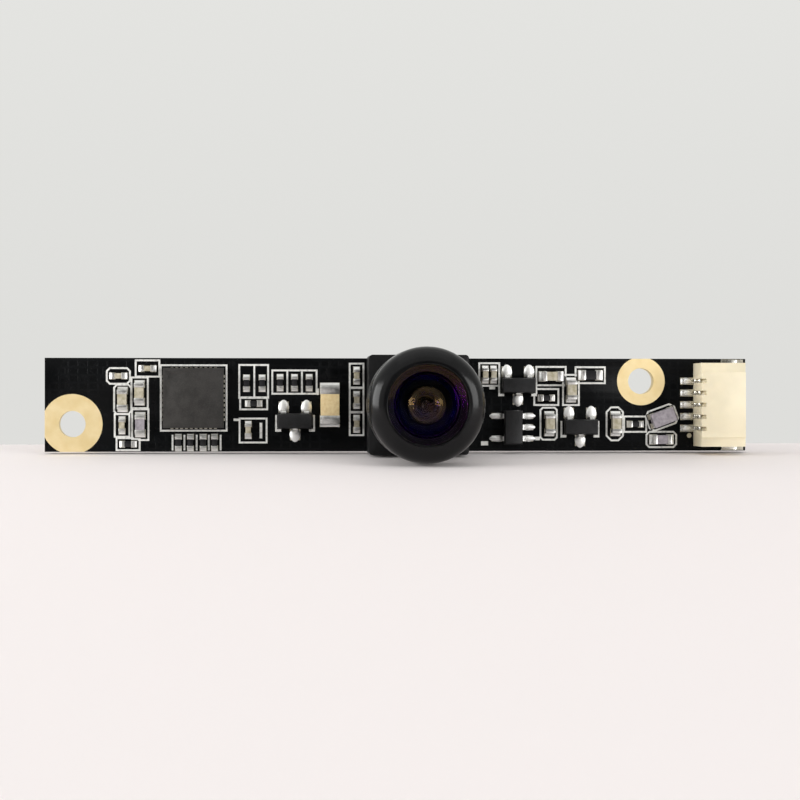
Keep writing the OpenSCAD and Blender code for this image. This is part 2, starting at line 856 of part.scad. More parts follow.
module lens_barrel() {
    r = thread_d / 2;
    color("#141416") turned() difference() {
        union() {
            slab(barrel_base, head_base + over, r);
            slab(head_base, bezel_base, head_d / 2);
            slab(bezel_base, spigot_top, spigot_r);
        }
        slab(barrel_base - over, stop_seat, rear_r + fit);
        slab(stop_seat - over, second_seat + over, second_hollow_d / 2);
        slab(second_seat, cone_base + over, second_lens_d / 2 + fit);
        polygon([
            [0, cone_base], [second_lens_d / 2 + fit, cone_base], [cone_top_r, front_seat],
            [cone_top_r, front_seat + over], [0, front_seat + over]
        ]);
        slab(front_seat, spigot_top + over, front_lens_d / 2 + fit);
        for (z = [barrel_base + 0.3:thread_pitch:head_base - 0.3])
            polygon([
                [r - thread_depth, z - 0.02], [r + 0.02, z - 0.15], [r + 0.02, z + 0.15],
                [r - thread_depth, z + 0.02]
            ]);
    }
}

module front_bezel() {
    color("#1d1d1f") turned() difference() {
        union() {
            slab(bezel_base, head_top - bezel_r, head_d / 2);
            slab(head_top - bezel_r, head_top, head_d / 2 - bezel_r);
            translate([head_d / 2 - bezel_r, head_top - bezel_r]) intersection() {
                circle(bezel_r);
                square(bezel_r + over);
            }
        }
        slab(bezel_base - over, spigot_top + 0.05, spigot_r + fit);
        slab(bezel_base - over, bezel_step, front_lens_d / 2 + fit);
        slab(bezel_base, head_top + over, window_d / 2);
    }
}

module front_lens() {
    color("#2b3136") turned() difference() {
        intersection() {
            slab(front_seat, front_apex + over, front_lens_d / 2);
            under_dome(front_apex, front_lens_r);
        }
        hollow(front_seat, front_hollow_r, front_hollow_d);
    }
}

module second_lens() {
    color("#2b3136") turned() difference() {
        intersection() {
            slab(second_seat, second_apex + over, second_lens_d / 2);
            under_dome(second_apex, second_front_r);
        }
        hollow(second_seat, second_hollow_r, second_hollow_d);
    }
}

// Spacer with a blackened funnel inside, between the second and the front glass
module front_spacer() {
    r = second_lens_d / 2;
    base = dome_at(second_apex, second_front_r, r - 0.25) + fit / 2;
    color("#101012") turned() polygon([
        [r - 0.25, base], [r, base], [r, cone_base + 0.02], [cone_top_r - 0.04, front_seat - 0.02],
        [r + 0.02, front_seat - 0.02]
    ]);
}

module aperture_stop() {
    color("#101012") turned() difference() {
        slab(dome_at(third_apex, third_front_r, ring_r) + fit / 2, stop_seat, rear_r);
        slab(0, stop_seat - stop_t, ring_r);
        slab(0, stop_seat + over, aperture_d / 2);
    }
}

module third_lens() {
    color("#2b3136") turned() intersection() {
        slab(third_vertex - over, third_apex + over, rear_r);
        under_dome(third_apex, third_front_r);
        over_bowl(third_vertex, third_rear_r);
    }
}

module middle_spacer() {
    z0 = dome_at(rear_apex, rear_front_r, ring_r) + fit / 2;
    z1 = bowl_at(third_vertex, third_rear_r, ring_r) - fit / 2;
    color("#101012") turned() translate([ring_r, z0]) square([rear_r - ring_r, z1 - z0]);
}

module rear_lens() {
    color("#2b3136") turned() intersection() {
        slab(rear_vertex - over, rear_apex + over, rear_r);
        under_dome(rear_apex, rear_front_r);
        over_bowl(rear_vertex, rear_rear_r);
    }
}

module rear_retainer() {
    z1 = bowl_at(rear_vertex, rear_rear_r, retainer_r) - fit / 2;
    color("#101012") turned() translate([retainer_r, z1 - retainer_h])
        square([rear_r - retainer_r, retainer_h]);
}

// ---------------------------------------------------------------- connector

function contact_y(i) = (i - (contact_count - 1) / 2) * contact_pitch;

module contact_strip() {
    across(contact_w)
        formed_strip(blade_tip, housing_l - 0.1, housing_l + tail_l, land_t, blade_up + contact_t / 2,
            contact_t, 0.1, 0.3);
}

module connector_contact(number) {
    color("#d5cfa8") at_mouth() translate([0, contact_y(number - 1), 0]) contact_strip();
}

module connector_contact_1() {
    connector_contact(1);
}

module connector_contact_2() {
    connector_contact(2);
}

module connector_contact_3() {
    connector_contact(3);
}

module connector_contact_4() {
    connector_contact(4);
}

module connector_contact_5() {
    connector_contact(5);
}

// Plate in the side of the housing with a foot bent out on to its land
module fixing_lug(turn) {
    bend = 0.05;
    color("#cfcfcd") at_mouth() translate([lug_at, 0, 0]) rotate([0, 0, turn])
        translate([-lug_l / 2, 0, 0]) rotate([90, 0, 90]) linear_extrude(lug_l)
            translate([housing_w / 2, land_t]) {
                translate([-lug_t, lug_t + bend]) square([lug_t, lug_h - lug_t - bend]);
                translate([bend, lug_t + bend]) rotate(180) quarter_bend(bend, lug_t);
                translate([bend, 0]) square([lug_out - bend, lug_t]);
            }
}

module upper_fixing_lug() {
    fixing_lug(180);
}

module lower_fixing_lug() {
    fixing_lug(0);
}

module connector_housing() {
    cavity_w = housing_w - 2 * housing_wall;
    color("#efe3c0") difference() {
        at_mouth() difference() {
            translate([0, -housing_w / 2, 0]) cube([housing_l, housing_w, housing_h]);
            translate([-over, -cavity_w / 2, floor_t])
                cube([housing_l - rear_wall + over, cavity_w, housing_h - floor_t - housing_wall]);
            for (i = [0:contact_count - 1]) translate([0, contact_y(i), 0]) {
                translate([housing_l - slot_l, -contact_w / 2 - fit, -over])
                    cube([slot_l + over, contact_w + 2 * fit, housing_h + 2 * over]);
                contact_strip();
            }
            for (s = [-1, 1])
                translate([-over, s * (housing_w / 2 - shoulder / 2 + over / 2) - (shoulder + over) / 2,
                    housing_h - 0.12]) cube([housing_l + 2 * over, shoulder + over, over]);
            for (s = [-1, 1])
                translate([lug_at - lug_l / 2, s * (housing_w / 2 + over / 2 - lug_t / 2)
                    - (lug_t + over) / 2, -over]) cube([lug_l, lug_t + over, lug_h + land_t + over]);
        }
    }
}

// ---------------------------------------------------------------- the finished module

upright() circuit_board();
upright() left_mounting_pad();
upright() right_mounting_pad();
upright() printed_legend();
upright() component_lands();
upright() solder_fillets();
upright() lens_holder();
upright() lens_barrel();
upright() front_bezel();
upright() front_lens();
upright() second_lens();
upright() front_spacer();
upright() aperture_stop();
upright() third_lens();
upright() middle_spacer();
upright() rear_lens();
upright() rear_retainer();
upright() infrared_filter();
upright() sensor_balls();
upright() sensor_die();
upright() sensor_cover_glass();
upright() connector_housing();
upright() connector_contact_1();
upright() connector_contact_2();
upright() connector_contact_3();
upright() connector_contact_4();
upright() connector_contact_5();
upright() upper_fixing_lug();
upright() lower_fixing_lug();
upright() processor_body();
upright() processor_contacts();
upright() left_regulator_body();
upright() left_regulator_leads();
upright() middle_regulator_body();
upright() middle_regulator_leads();
upright() right_regulator_body();
upright() right_regulator_leads();
upright() load_switch_body();
upright() load_switch_leads();
upright() bulk_capacitor_body();
upright() bulk_capacitor_terminals();
upright() small_resistor_bodies();
upright() small_resistor_terminals();
upright() small_capacitor_bodies();
upright() small_capacitor_terminals();
upright() large_resistor_body();
upright() large_resistor_terminals();
upright() large_capacitor_bodies();
upright() large_capacitor_terminals();
upright() ferrite_bead_bodies();
upright() ferrite_bead_terminals();
upright() choke_body();
upright() choke_terminals();
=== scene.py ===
"""Finishes and light for a narrow board camera module, laid over its solid parts."""

import json
import math

import bpy
from mathutils import Matrix, Vector


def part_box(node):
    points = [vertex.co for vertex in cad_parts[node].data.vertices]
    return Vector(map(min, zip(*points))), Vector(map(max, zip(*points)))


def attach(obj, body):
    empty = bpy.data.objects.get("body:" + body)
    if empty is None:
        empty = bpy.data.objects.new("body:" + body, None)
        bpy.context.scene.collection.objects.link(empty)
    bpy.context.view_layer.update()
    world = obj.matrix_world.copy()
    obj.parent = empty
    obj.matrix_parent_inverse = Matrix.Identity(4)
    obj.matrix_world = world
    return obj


bl_info = {
    "name": "Camera Module Finish",
    "version": (1, 0, 0),
    "blender": (4, 5, 0),
    "location": "View3D > Sidebar > Module",
    "description": "Finishes, solder joints and studio for a narrow board camera module",
    "category": "Object",
}

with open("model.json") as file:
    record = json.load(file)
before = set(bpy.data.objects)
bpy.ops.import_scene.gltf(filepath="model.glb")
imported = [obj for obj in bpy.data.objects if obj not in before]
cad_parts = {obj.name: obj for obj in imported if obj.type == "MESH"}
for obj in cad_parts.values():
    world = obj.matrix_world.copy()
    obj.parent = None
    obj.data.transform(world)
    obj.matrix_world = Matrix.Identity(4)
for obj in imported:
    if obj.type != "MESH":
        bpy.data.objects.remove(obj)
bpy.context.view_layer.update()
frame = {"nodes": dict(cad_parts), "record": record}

MM = 0.001
# corners of the loose faces that lie closer than this are one corner
SAME_CORNER = 0.0008 * MM
BOARD_LOW, BOARD_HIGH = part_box("circuit_board")
FACE = BOARD_LOW.y
# where the solder joints stand: on the lands, just off the board's front face
JOINT_FOOT = FACE - 0.04 * MM
HOLES = [mount for mount in frame["record"]["mounts"] if mount["kind"] == "bore"]

CONTACTS = ["connector_contact_%d" % n for n in range(1, 6)]
LUGS = ["upper_fixing_lug", "lower_fixing_lug"]
THREE_LEAD = ["left_regulator", "middle_regulator", "right_regulator"]
PACKAGES = THREE_LEAD + ["load_switch"]
GLASSES = ["front_lens", "second_lens", "third_lens", "rear_lens"]
BLACKENED = ["front_spacer", "aperture_stop", "middle_spacer", "rear_retainer"]
TINNED = [
    "bulk_capacitor_terminals",
    "small_resistor_terminals",
    "small_capacitor_terminals",
    "large_resistor_terminals",
    "large_capacitor_terminals",
    "ferrite_bead_terminals",
    "choke_terminals",
]


# ---------------------------------------------------------------- colours and materials


def linear(code):
    """An sRGB hex colour as a linear colour with alpha."""
    out = []
    for i in (1, 3, 5):
        c = int(code[i : i + 2], 16) / 255
        out.append(c / 12.92 if c <= 0.04045 else ((c + 0.055) / 1.055) ** 2.4)
    return (*out, 1.0)


def add(tree, kind, sockets=None, stops=(), **settings):
    """One node with its settings, its ramp's (place, colour) stops, and its sockets, each a value
    or the (node, socket) that feeds it."""
    made = tree.nodes.new(kind)
    for key, value in settings.items():
        setattr(made, key, value)
    for _ in stops[2:]:
        made.color_ramp.elements.new(0.5)
    for i, (place, colour) in enumerate(stops):
        made.color_ramp.elements[i].position = place
        made.color_ramp.elements[i].color = colour
    feed(tree, made, sockets or {})
    return made


def feed(tree, node, sockets):
    """Values and links for a node's own sockets."""
    for name, value in sockets.items():
        if isinstance(value, tuple) and hasattr(value[0], "outputs"):
            tree.links.new(value[0].outputs[value[1]], node.inputs[name])
        else:
            node.inputs[name].default_value = value


def start(name):
    """A new material with its shader, and coordinates on the piece counted in millimetres."""
    material = bpy.data.materials.new(name)
    material.use_nodes = True
    tree = material.node_tree
    tree.nodes.clear()
    shader = add(tree, "ShaderNodeBsdfPrincipled")
    add(tree, "ShaderNodeOutputMaterial", {"Surface": (shader, "BSDF")})
    place = add(tree, "ShaderNodeTexCoord")
    in_mm = add(tree, "ShaderNodeMapping", {"Vector": (place, "Object"), "Scale": (1 / MM,) * 3})
    return material, tree, shader, (in_mm, "Vector")


def moulded(name, low, high, rough, grain, depth, extra=None):
    """Moulded plastic: two close tones in soft clouds and the fine sparked grain of its tool.
    Its low and high tones are linear colours, its grain and depth are in millimetres."""
    material, tree, shader, mm = start(name)
    cloud = add(tree, "ShaderNodeTexNoise", {"Vector": mm, "Scale": 0.6, "Detail": 3.0})
    tone = add(
        tree,
        "ShaderNodeValToRGB",
        {"Fac": (cloud, "Fac")},
        stops=[(0.35, low), (0.65, high)],
    )
    fine = add(tree, "ShaderNodeTexNoise", {"Vector": mm, "Scale": 1 / grain, "Detail": 4.0})
    bump = add(
        tree,
        "ShaderNodeBump",
        {"Height": (fine, "Fac"), "Strength": 0.35, "Distance": depth * MM},
    )
    sheen = add(
        tree,
        "ShaderNodeMapRange",
        {"Value": (fine, "Fac"), "To Min": rough - 0.05, "To Max": rough + 0.05},
    )
    feed(
        tree,
        shader,
        {
            "Base Color": (tone, "Color"),
            "Roughness": (sheen, "Result"),
            "Normal": (bump, "Normal"),
            "IOR": 1.5,
            **(extra or {}),
        },
    )
    return material


def metal(name, low, high, rough, spread, grain, depth):
    """Plated or soldered metal: its tone and gloss wander with the grain of the surface. Its low
    and high tones are hex colours, its grain and depth are in millimetres."""
    material, tree, shader, mm = start(name)
    cloud = add(tree, "ShaderNodeTexNoise", {"Vector": mm, "Scale": 1 / grain, "Detail": 4.0})
    tone = add(
        tree,
        "ShaderNodeValToRGB",
        {"Fac": (cloud, "Fac")},
        stops=[(0.3, linear(low)), (0.7, linear(high))],
    )
    gloss = add(
        tree,
        "ShaderNodeMapRange",
        {"Value": (cloud, "Fac"), "To Min": rough - spread, "To Max": rough + spread},
    )
    bump = add(
        tree,
        "ShaderNodeBump",
        {"Height": (cloud, "Fac"), "Strength": 0.4, "Distance": depth * MM},
    )
    feed(
        tree,
        shader,
        {
            "Base Color": (tone, "Color"),
            "Metallic": 1.0,
            "Roughness": (gloss, "Result"),
            "Normal": (bump, "Normal"),
        },
    )
    return material


def optical_glass(name, tint, rim, ior, wave):
    """Polished optical glass under an antireflection coating, here one layer that is a quarter
    wave thick at so many nanometres: only a weak coloured glint is left. Black ink past the rim,
    in millimetres from the axis, stops stray light."""
    material, tree, shader, mm = start(name)
    axis = add(tree, "ShaderNodeSeparateXYZ", {"Vector": mm})
    across = add(tree, "ShaderNodeCombineXYZ", {"X": (axis, "X"), "Y": (axis, "Z")})
    reach = add(tree, "ShaderNodeVectorMath", {0: (across, "Vector")}, operation="LENGTH")
    inked = add(tree, "ShaderNodeMath", {0: (reach, "Value"), 1: rim}, operation="GREATER_THAN")
    film_cloud = add(tree, "ShaderNodeTexNoise", {"Vector": mm, "Scale": 0.4, "Detail": 2.0})
    tone = add(
        tree,
        "ShaderNodeMix",
        {"Factor": (film_cloud, "Fac"), "A": linear(tint), "B": linear("#FFFFFF")},
        data_type="RGBA",
    )
    colour = add(
        tree,
        "ShaderNodeMix",
        {"Factor": (inked, "Value"), "A": (tone, "Result"), "B": linear("#050505")},
        data_type="RGBA",
    )
    clear = add(tree, "ShaderNodeMath", {0: 1.0, 1: (inked, "Value")}, operation="SUBTRACT")
    feed(
        tree,
        shader,
        {
            "Base Color": (colour, "Result"),
            "Transmission Weight": (clear, "Value"),
            "Roughness": 0.02,
            "IOR": ior,
            "Thin Film Thickness": wave / 4 / math.sqrt(ior),
            "Thin Film IOR": math.sqrt(ior),
        },
    )
    return material


def baffle_black_with_painted_ring():
    """Blacked brass and plastic inside the lens: no sheen, but a painted highlight, light grey
    near the axis round the small hole of the stop, which the front glass shows as a bright ring."""
    material, tree, shader, mm = start("Blacked lens interior")
    axis = add(tree, "ShaderNodeSeparateXYZ", {"Vector": mm})
    across = add(tree, "ShaderNodeCombineXYZ", {"X": (axis, "X"), "Y": (axis, "Z")})
    reach = add(tree, "ShaderNodeVectorMath", {0: (across, "Vector")}, operation="LENGTH")
    grain = add(tree, "ShaderNodeTexNoise", {"Vector": mm, "Scale": 6.0, "Detail": 3.0})
    wander = add(
        tree,
        "ShaderNodeMath",
        {0: (grain, "Fac"), 1: 0.03, 2: (reach, "Value")},
        operation="MULTIPLY_ADD",
    )
    tone = add(
        tree,
        "ShaderNodeValToRGB",
        {"Fac": (wander, "Value")},
        # painted highlight: the grey near the axis stands for the bright ring of light in the
        # stop's hole
        stops=[
            (0.0, linear("#8A8886")),
            (0.6, linear("#6A6866")),
            (0.66, linear("#121213")),
            (0.9, linear("#0A0A0B")),
        ],
    )
    feed(
        tree,
        shader,
        {"Base Color": (tone, "Color"), "Roughness": 0.7, "Specular IOR Level": 0.2},
    )
    return material


def solder_mask(colour):
    """Black liquid mask over etched copper on glass-epoxy: satin, with the tracks, filled planes
    and covered vias standing up under it, the bare brown laminate at the sawn edges, and the gold
    plating that runs through the mounting holes."""
    material, tree, shader, mm = start("Black solder mask on glass-epoxy")
    flat = add(tree, "ShaderNodeSeparateXYZ", {"Vector": mm})
    plan = add(
        tree,
        "ShaderNodeCombineXYZ",
        {"X": (flat, "X"), "Y": (flat, "Z"), "Z": 0.0},
    )
    raised = None
    # tracks about 0.2 mm wide, in runs along, across and at 45 degrees
    for turn, width, height, line in (
        (0, 3.1, 0.62, 0.1),
        (90, 2.3, 0.8, 0.1),
        (45, 5.3, 1.9, 0.08),
    ):
        turned = add(
            tree,
            "ShaderNodeMapping",
            {"Vector": (plan, "Vector"), "Rotation": (0, 0, math.radians(turn))},
        )
        tracks = add(
            tree,
            "ShaderNodeTexBrick",
            {
                "Vector": (turned, "Vector"),
                "Color1": (0, 0, 0, 1),
                "Color2": (0, 0, 0, 1),
                "Mortar": (1, 1, 1, 1),
                "Scale": 1.0,
                "Mortar Size": line,
                "Mortar Smooth": 0.25,
                "Brick Width": width,
                "Row Height": height,
            },
            offset=0.37,
        )
        if raised is None:
            raised = (tracks, "Color")
        else:
            higher = add(
                tree,
                "ShaderNodeMath",
                {0: raised, 1: (tracks, "Color")},
                operation="MAXIMUM",
            )
            raised = (higher, "Value")
    where = add(
        tree,
        "ShaderNodeTexNoise",
        {"Vector": (plan, "Vector"), "Scale": 0.22, "Detail": 1.0},
    )
    routed = add(
        tree,
        "ShaderNodeMapRange",
        {"Value": (where, "Fac"), "From Min": 0.44, "From Max": 0.5},
    )
    tracks_here = add(
        tree, "ShaderNodeMath", {0: raised, 1: (routed, "Result")}, operation="MULTIPLY"
    )
    vias = add(
        tree,
        "ShaderNodeTexVoronoi",
        {"Vector": (plan, "Vector"), "Scale": 0.62, "Randomness": 0.9},
        feature="F1",
    )
    # covered vias 0.45 mm across with a dimple in the middle
    ring = add(
        tree,
        "ShaderNodeValToRGB",
        {"Fac": (vias, "Distance")},
        stops=[
            (0.0, (0.35, 0.35, 0.35, 1)),
            (0.06, (0.4, 0.4, 0.4, 1)),
            (0.09, (1, 1, 1, 1)),
            (0.135, (1, 1, 1, 1)),
            (0.16, (0, 0, 0, 1)),
        ],
    )
    copper = add(
        tree,
        "ShaderNodeMath",
        {0: (tracks_here, "Value"), 1: (ring, "Color")},
        operation="MAXIMUM",
    )
    skin = add(tree, "ShaderNodeTexNoise", {"Vector": mm, "Scale": 9.0, "Detail": 3.0})
    relief = add(
        tree,
        "ShaderNodeMath",
        {0: (skin, "Fac"), 1: 0.12, 2: (copper, "Value")},
        operation="MULTIPLY_ADD",
    )
    bump = add(
        tree,
        "ShaderNodeBump",
        {"Height": (relief, "Value"), "Strength": 0.5, "Distance": 0.025 * MM},
    )
    tone = add(
        tree,
        "ShaderNodeMix",
        {
            "Factor": (copper, "Value"),
            "A": (*colour, 1.0),
            "B": (*[1.5 * c for c in colour], 1.0),
        },
        data_type="RGBA",
    )
    # sawn edges and drilled walls face along the board, the mask faces out of it
    side = add(tree, "ShaderNodeNewGeometry")
    facing = add(tree, "ShaderNodeSeparateXYZ", {"Vector": (side, "Normal")})
    depth = add(tree, "ShaderNodeMath", {0: (facing, "Y")}, operation="ABSOLUTE")
    sawn = add(tree, "ShaderNodeMath", {0: (depth, "Value"), 1: 0.4}, operation="LESS_THAN")
    weave = add(tree, "ShaderNodeTexWave", {"Vector": mm, "Scale": 2.2, "Distortion": 2.0})
    laminate = add(
        tree,
        "ShaderNodeValToRGB",
        {"Fac": (weave, "Fac")},
        stops=[(0.2, linear("#211F18")), (0.8, linear("#302C21"))],
    )
    edge = add(
        tree,
        "ShaderNodeMix",
        {"Factor": (sawn, "Value"), "A": (tone, "Result"), "B": (laminate, "Color")},
        data_type="RGBA",
    )
    # the walls of the mounting holes are the only sawn faces that lie so near a hole's axis
    outside = None
    for hole in HOLES:
        x, _, z = hole["pos_m"]
        centred = add(
            tree,
            "ShaderNodeMapping",
            {"Vector": (plan, "Vector"), "Location": (-x / MM, -z / MM, 0)},
        )
        reach = add(tree, "ShaderNodeVectorMath", {0: (centred, "Vector")}, operation="LENGTH")
        clear = add(
            tree,
            "ShaderNodeMath",
            {0: (reach, "Value"), 1: hole["dims"]["r_mm"] + 0.05},
            operation="GREATER_THAN",
        )
        if outside:
            clear = add(
                tree, "ShaderNodeMath", {0: outside, 1: (clear, "Value")}, operation="MULTIPLY"
            )
        outside = (clear, "Value")
    plated = add(
        tree,
        "ShaderNodeMath",
        {0: (sawn, "Value"), 1: outside},
        operation="SUBTRACT",
        use_clamp=True,
    )
    all_over = add(
        tree,
        "ShaderNodeMix",
        {"Factor": (plated, "Value"), "A": (edge, "Result"), "B": linear("#E2CB92")},
        data_type="RGBA",
    )
    rough = add(
        tree,
        "ShaderNodeMapRange",
        {"Value": (skin, "Fac"), "To Min": 0.26, "To Max": 0.38},
    )
    feed(
        tree,
        shader,
        {
            "Base Color": (all_over, "Result"),
            "Metallic": (plated, "Value"),
            "Roughness": (rough, "Result"),
            "Normal": (bump, "Normal"),
            "Specular IOR Level": 0.07,
        },
    )
    return material


def legend_ink(colour):
    """Screen-printed white ink: chalky, and thin enough that the black grins through a little."""
    material, tree, shader, mm = start("White legend ink")
    patch = add(tree, "ShaderNodeTexNoise", {"Vector": mm, "Scale": 4.0, "Detail": 5.0})
    tone = add(
        tree,
        "ShaderNodeValToRGB",
        {"Fac": (patch, "Fac")},
        stops=[
            (0.3, (*[0.62 * c for c in colour], 1.0)),
            (0.5, (*colour, 1.0)),
            (0.75, (*colour, 1.0)),
        ],
    )
    bump = add(
        tree,
        "ShaderNodeBump",
        {"Height": (patch, "Fac"), "Strength": 0.5, "Distance": 0.01 * MM},
    )
    feed(
        tree,
        shader,
        {"Base Color": (tone, "Color"), "Roughness": 0.62, "Normal": (bump, "Normal")},
    )
    return material


def moulding_compound(name, low, high):
    """Silica-filled epoxy of chip packages: dull grey-black with a fine speckle of filler."""
    material, tree, shader, mm = start(name)
    speck = add(tree, "ShaderNodeTexVoronoi", {"Vector": mm, "Scale": 11.0})
    cloud = add(tree, "ShaderNodeTexNoise", {"Vector": mm, "Scale": 1.3, "Detail": 3.0})
    mixed = add(
        tree,
        "ShaderNodeMath",
        {0: (speck, "Distance"), 1: 0.35, 2: (cloud, "Fac")},
        operation="MULTIPLY_ADD",
    )
    tone = add(
        tree,
        "ShaderNodeValToRGB",
        {"Fac": (mixed, "Value")},
        stops=[(0.45, linear(low)), (0.85, linear(high))],
    )
    bump = add(
        tree,
        "ShaderNodeBump",
        {"Height": (speck, "Distance"), "Strength": 0.35, "Distance": 0.012 * MM},
    )
    feed(
        tree,
        shader,
        {
            "Base Color": (tone, "Color"),
            "Roughness": 0.52,
            "Specular IOR Level": 0.3,
            "Normal": (bump, "Normal"),
        },
    )
    return material


def ceramic(name, low, high, rough):
    """Fired and tumbled ceramic chip: fine mottling, a dry sheen and slightly worn faces."""
    material, tree, shader, mm = start(name)
    mottle = add(tree, "ShaderNodeTexNoise", {"Vector": mm, "Scale": 3.5, "Detail": 5.0})
    tone = add(
        tree,
        "ShaderNodeValToRGB",
        {"Fac": (mottle, "Fac")},
        stops=[(0.35, linear(low)), (0.65, linear(high))],
    )
    bump = add(
        tree,
        "ShaderNodeBump",
        {"Height": (mottle, "Fac"), "Strength": 0.3, "Distance": 0.015 * MM},
    )
    feed(
        tree,
        shader,
        {"Base Color": (tone, "Color"), "Roughness": rough, "Normal": (bump, "Normal")},
    )
    return material


def natural_nylon(colour):
    """Unfilled nylon of the connector: ivory, waxy, a little light passing into it."""
    return moulded(
        "Natural nylon",
        (*[0.93 * c for c in colour], 1.0),
        (*colour, 1.0),
        rough=0.42,
        grain=0.16,
        depth=0.012,
        extra={
            "Subsurface Weight": 0.12,
            "Subsurface Radius": (0.9, 0.7, 0.4),
            "Subsurface Scale": 0.4 * MM,
        },
    )


def silicon():
    """Polished silicon with its colour filters: deep grey-violet with a weak sheen of colour."""
    material, tree, shader, mm = start("Image sensor silicon")
    grid = add(tree, "ShaderNodeTexChecker", {"Vector": mm, "Scale": 6.0})
    tone = add(
        tree,
        "ShaderNodeMix",
        {"Factor": (grid, "Fac"), "A": linear("#2E2B3A"), "B": linear("#333044")},
        data_type="RGBA",
    )
    feed(
        tree,
        shader,
        {
            "Base Color": (tone, "Result"),
            "Roughness": 0.15,
            "Thin Film Thickness": 380.0,
            "Thin Film IOR": 1.46,
        },
    )
    return material


def seen_rays(tree):
    """1 for what the eye sees straight, in metal or through glass, and 0 for light on the way."""
    path = add(tree, "ShaderNodeLightPath")
    seen = (path, "Is Camera Ray")
    for ray in ("Is Glossy Ray", "Is Transmission Ray"):
        either = add(tree, "ShaderNodeMath", {0: seen, 1: (path, ray)}, operation="MAXIMUM")
        seen = (either, "Value")
    return seen


# ---------------------------------------------------------------- work on the solid parts


def soften(names, width, angle=30.0):
    """Closes each solid's loose faces, gives its edges a small round and shades it smooth."""
    for name in names:
        piece = frame["nodes"][name]
        weld = piece.modifiers.new("Close", "WELD")
        weld.merge_threshold = SAME_CORNER
        if width > 0:
            bevel = piece.modifiers.new("Edge round", "BEVEL")
            bevel.width = width
            bevel.segments = 2
            bevel.limit_method = "ANGLE"
            bevel.angle_limit = math.radians(angle)
            bevel.use_clamp_overlap = True
            bevel.harden_normals = True
        for face in piece.data.polygons:
            face.use_smooth = True
        if width <= 0:
            split = piece.modifiers.new("Hard edges", "EDGE_SPLIT")
            split.split_angle = math.radians(angle)
            split.use_edge_sharp = False


def dress(names, material):
    """Puts one material on each named solid."""
    for name in names:
        data = frame["nodes"][name].data
        data.materials.clear()
        data.materials.append(material)


def deselect():
    if bpy.context.object and bpy.context.object.mode != "OBJECT":
        bpy.ops.object.mode_set(mode="OBJECT")
    bpy.ops.object.select_all(action="DESELECT")


def settle(piece):
    """Leaves a finished piece at the origin, with its place in its mesh."""
    deselect()
    piece.select_set(True)
    bpy.context.view_layer.objects.active = piece
    bpy.ops.object.transform_apply(location=True, rotation=True, scale=True)


def solder_bead(length, width, height):
    """One solder joint as a smooth mound, flat underneath and drawn out at one end, about its
    own middle with its foot on y = 0 and its height towards -y."""
    deselect()
    bpy.ops.mesh.primitive_uv_sphere_add(segments=20, ring_count=12, radius=1.0)
    bead = bpy.context.object
    bpy.ops.object.mode_set(mode="EDIT")
    bpy.ops.mesh.select_all(action="SELECT")
    bpy.ops.mesh.bisect(
        plane_co=(0, 0.02, 0), plane_no=(0, 1, 0), use_fill=True, clear_outer=True
    )
    bpy.ops.object.mode_set(mode="OBJECT")
    for v in bead.data.vertices:
        # the foot spreads where the solder wets the land, and one end runs out thin
        spread = 1.0 + 0.22 * max(0.0, 1.0 + v.co.y) ** 3
        thin = 1.0 - 0.28 * (0.5 - 0.5 * v.co.x)
        v.co.x *= spread * length / 2
        v.co.y *= thin * height
        v.co.z *= spread * thin * width / 2
    for face in bead.data.polygons:
        face.use_smooth = True
    bpy.ops.object.shade_smooth_by_angle(angle=math.radians(50))
    return bead


def solder_row(name, joints, size):
    """Copies of one bead at (place, turn) joints, made into one piece that rides on the module."""
    first = solder_bead(*size)
    copies = []
    for place, turn in joints:
        copy = first.copy()
        copy.data = first.data.copy()
        bpy.context.collection.objects.link(copy)
        copy.data.transform(Matrix.Translation(place) @ Matrix.Rotation(turn, 4, "Y"))
        copies.append(copy)
    bpy.data.objects.remove(first)
    deselect()
    for copy in copies:
        copy.select_set(True)
    bpy.context.view_layer.objects.active = copies[0]
    bpy.ops.object.join()
    piece = bpy.context.object
    piece.name = name
    piece.data.name = name
    settle(piece)
    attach(piece, "root")
    return piece


# ---------------------------------------------------------------- what a user may change


